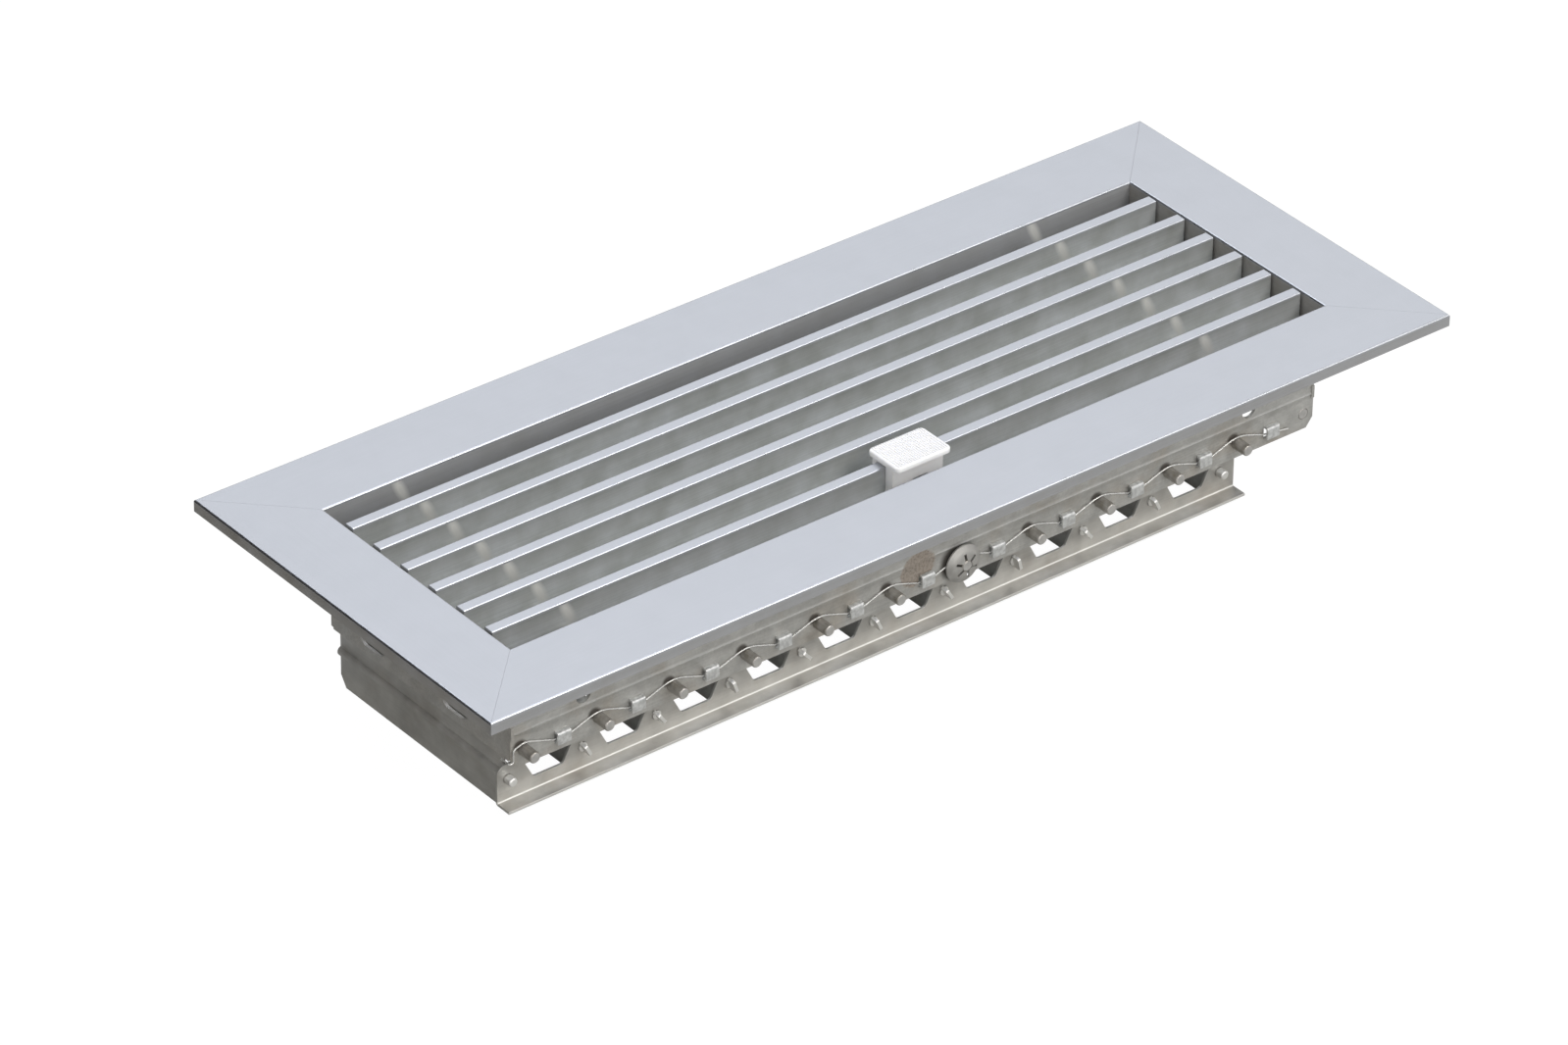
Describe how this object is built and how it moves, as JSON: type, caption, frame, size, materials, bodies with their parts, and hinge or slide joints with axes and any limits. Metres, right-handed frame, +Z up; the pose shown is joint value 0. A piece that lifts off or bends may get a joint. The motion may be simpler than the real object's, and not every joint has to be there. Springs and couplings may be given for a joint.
{
  "type": "floor register",
  "caption": "Aluminium floor register: a mitred drop-in face frame with fixed straight bars over a parallel-flap damper, opened and closed by a sliding knob.",
  "frame": {"origin": "centre of the register in plan, at the level of the open flaps' lower edges", "axes": "+X along the register's length, +Y across it away from the linked side, +Z up through the face"},
  "size_m": [0.34, 0.1368, 0.0602],
  "materials": {
    "anodised_frame": "satin anodised",
    "anodised_bars": "satin anodised",
    "key_steel": "zinc plated",
    "galvanised_sheet": "galvanised, dull",
    "flap_aluminium": "mill finish",
    "rod_steel": "zinc plated",
    "spring_steel": "bright",
    "rivet_aluminium": "satin",
    "link_aluminium": "mill finish",
    "knob_plastic": "moulded"
  },
  "bodies": {
    "frame": {"frame_front": "anodised_frame", "frame_back": "anodised_frame", "frame_left": "anodised_frame", "frame_right": "anodised_frame", "corner_key_front_left": "key_steel", "corner_key_front_right": "key_steel", "corner_key_back_left": "key_steel", "corner_key_back_right": "key_steel", "bar_1": "anodised_bars", "bar_2": "anodised_bars", "bar_3": "anodised_bars", "bar_4": "anodised_bars", "bar_5": "anodised_bars", "bar_6": "anodised_bars", "cross_support_left": "anodised_bars", "cross_support_right": "anodised_bars", "damper_rail_near": "galvanised_sheet", "damper_rail_far": "galvanised_sheet", "end_plate_left": "galvanised_sheet", "end_plate_right": "galvanised_sheet", "tie_rod": "rod_steel", "friction_wire": "spring_steel", "collar_rivets": "rivet_aluminium"},
    "flap_body_1": {"flap_1": "flap_aluminium", "flap_rod_1": "rod_steel"},
    "flap_body_2": {"flap_2": "flap_aluminium", "flap_rod_2": "rod_steel"},
    "flap_body_3": {"flap_3": "flap_aluminium", "flap_rod_3": "rod_steel"},
    "flap_body_4": {"flap_4": "flap_aluminium", "flap_rod_4": "rod_steel"},
    "flap_body_5": {"flap_5": "flap_aluminium", "flap_rod_5": "rod_steel"},
    "flap_body_6": {"flap_6": "flap_aluminium", "flap_rod_6": "rod_steel"},
    "flap_body_7": {"flap_7": "flap_aluminium", "flap_rod_7": "rod_steel", "push_nut": "spring_steel", "crank": "galvanised_sheet"},
    "flap_body_8": {"flap_8": "flap_aluminium", "flap_rod_8": "rod_steel"},
    "flap_body_9": {"flap_9": "flap_aluminium", "flap_rod_9": "rod_steel"},
    "flap_body_10": {"flap_10": "flap_aluminium", "flap_rod_10": "rod_steel"},
    "flap_body_11": {"flap_11": "flap_aluminium", "flap_rod_11": "rod_steel"},
    "link": {"link_bar": "link_aluminium"},
    "knob": {"knob": "knob_plastic"}
  },
  "joints": [
    {"name": "flap_7_pivot", "type": "hinge", "parent": "frame", "child": "flap_body_7", "pos_m": [0.0131, 0, 0.0217], "axis": [0, -1, 0], "range_deg": [0, 85]},
    {"name": "flap_1_pivot", "type": "hinge", "parent": "frame", "child": "flap_body_1", "pos_m": [-0.1393, 0, 0.0217], "axis": [0, -1, 0], "range_deg": [0, 85]},
    {"name": "flap_2_pivot", "type": "hinge", "parent": "frame", "child": "flap_body_2", "pos_m": [-0.1139, 0, 0.0217], "axis": [0, -1, 0], "range_deg": [0, 85]},
    {"name": "flap_3_pivot", "type": "hinge", "parent": "frame", "child": "flap_body_3", "pos_m": [-0.0885, 0, 0.0217], "axis": [0, -1, 0], "range_deg": [0, 85]},
    {"name": "flap_4_pivot", "type": "hinge", "parent": "frame", "child": "flap_body_4", "pos_m": [-0.0631, 0, 0.0217], "axis": [0, -1, 0], "range_deg": [0, 85]},
    {"name": "flap_5_pivot", "type": "hinge", "parent": "frame", "child": "flap_body_5", "pos_m": [-0.0377, 0, 0.0217], "axis": [0, -1, 0], "range_deg": [0, 85]},
    {"name": "flap_6_pivot", "type": "hinge", "parent": "frame", "child": "flap_body_6", "pos_m": [-0.0123, 0, 0.0217], "axis": [0, -1, 0], "range_deg": [0, 85]},
    {"name": "flap_8_pivot", "type": "hinge", "parent": "frame", "child": "flap_body_8", "pos_m": [0.0385, 0, 0.0217], "axis": [0, -1, 0], "range_deg": [0, 85]},
    {"name": "flap_9_pivot", "type": "hinge", "parent": "frame", "child": "flap_body_9", "pos_m": [0.0639, 0, 0.0217], "axis": [0, -1, 0], "range_deg": [0, 85]},
    {"name": "flap_10_pivot", "type": "hinge", "parent": "frame", "child": "flap_body_10", "pos_m": [0.0893, 0, 0.0217], "axis": [0, -1, 0], "range_deg": [0, 85]},
    {"name": "flap_11_pivot", "type": "hinge", "parent": "frame", "child": "flap_body_11", "pos_m": [0.1147, 0, 0.0217], "axis": [0, -1, 0], "range_deg": [0, 85]},
    {"name": "link_pivot", "type": "hinge", "parent": "flap_body_7", "child": "link", "pos_m": [0.01095, 0, 0.0105], "axis": [0, -1, 0], "range_deg": [-85, 0]},
    {"name": "knob_slide", "type": "slide", "parent": "frame", "child": "knob", "axis": [-1, 0, 0], "range_m": [0, 0.01757]}
  ],
  "couplings": [
    {"joint": "flap_1_pivot", "follows": "flap_7_pivot", "ratio": 1},
    {"joint": "flap_2_pivot", "follows": "flap_7_pivot", "ratio": 1},
    {"joint": "flap_3_pivot", "follows": "flap_7_pivot", "ratio": 1},
    {"joint": "flap_4_pivot", "follows": "flap_7_pivot", "ratio": 1},
    {"joint": "flap_5_pivot", "follows": "flap_7_pivot", "ratio": 1},
    {"joint": "flap_6_pivot", "follows": "flap_7_pivot", "ratio": 1},
    {"joint": "flap_8_pivot", "follows": "flap_7_pivot", "ratio": 1},
    {"joint": "flap_9_pivot", "follows": "flap_7_pivot", "ratio": 1},
    {"joint": "flap_10_pivot", "follows": "flap_7_pivot", "ratio": 1},
    {"joint": "flap_11_pivot", "follows": "flap_7_pivot", "ratio": 1},
    {"joint": "link_pivot", "follows": "flap_7_pivot", "ratio": -1},
    {"joint": "knob_slide", "follows": "flap_7_pivot", "m_per_rad": 0.01184}
  ]
}
